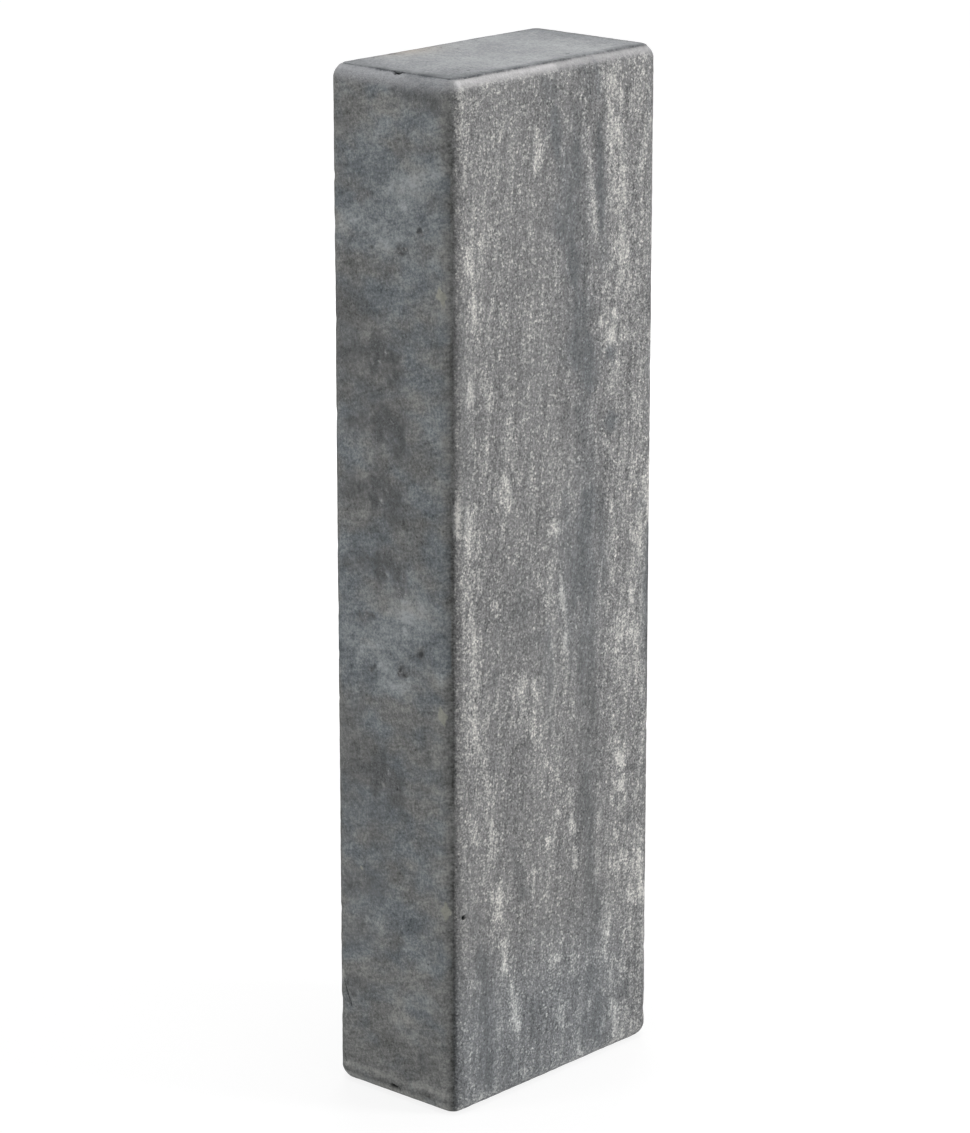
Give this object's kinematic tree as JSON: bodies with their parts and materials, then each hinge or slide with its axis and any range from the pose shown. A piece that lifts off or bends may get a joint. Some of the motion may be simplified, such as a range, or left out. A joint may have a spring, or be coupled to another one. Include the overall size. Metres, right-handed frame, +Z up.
{
  "type": "concrete palisade",
  "caption": "Upright cast concrete post with rounded long edges and bevelled ends, set shoulder to shoulder in a row to edge a bed or hold back soil.",
  "frame": {"origin": "middle of the bottom face, where the post stands on the floor", "axes": "+Z up along the post, X across the broad faces, Y across the narrow faces"},
  "size_m": [0.175, 0.095, 0.6],
  "materials": {
    "concrete": "matt, streaked grey and white"
  },
  "bodies": {
    "root": {"palisade": "concrete"}
  },
  "joints": []
}
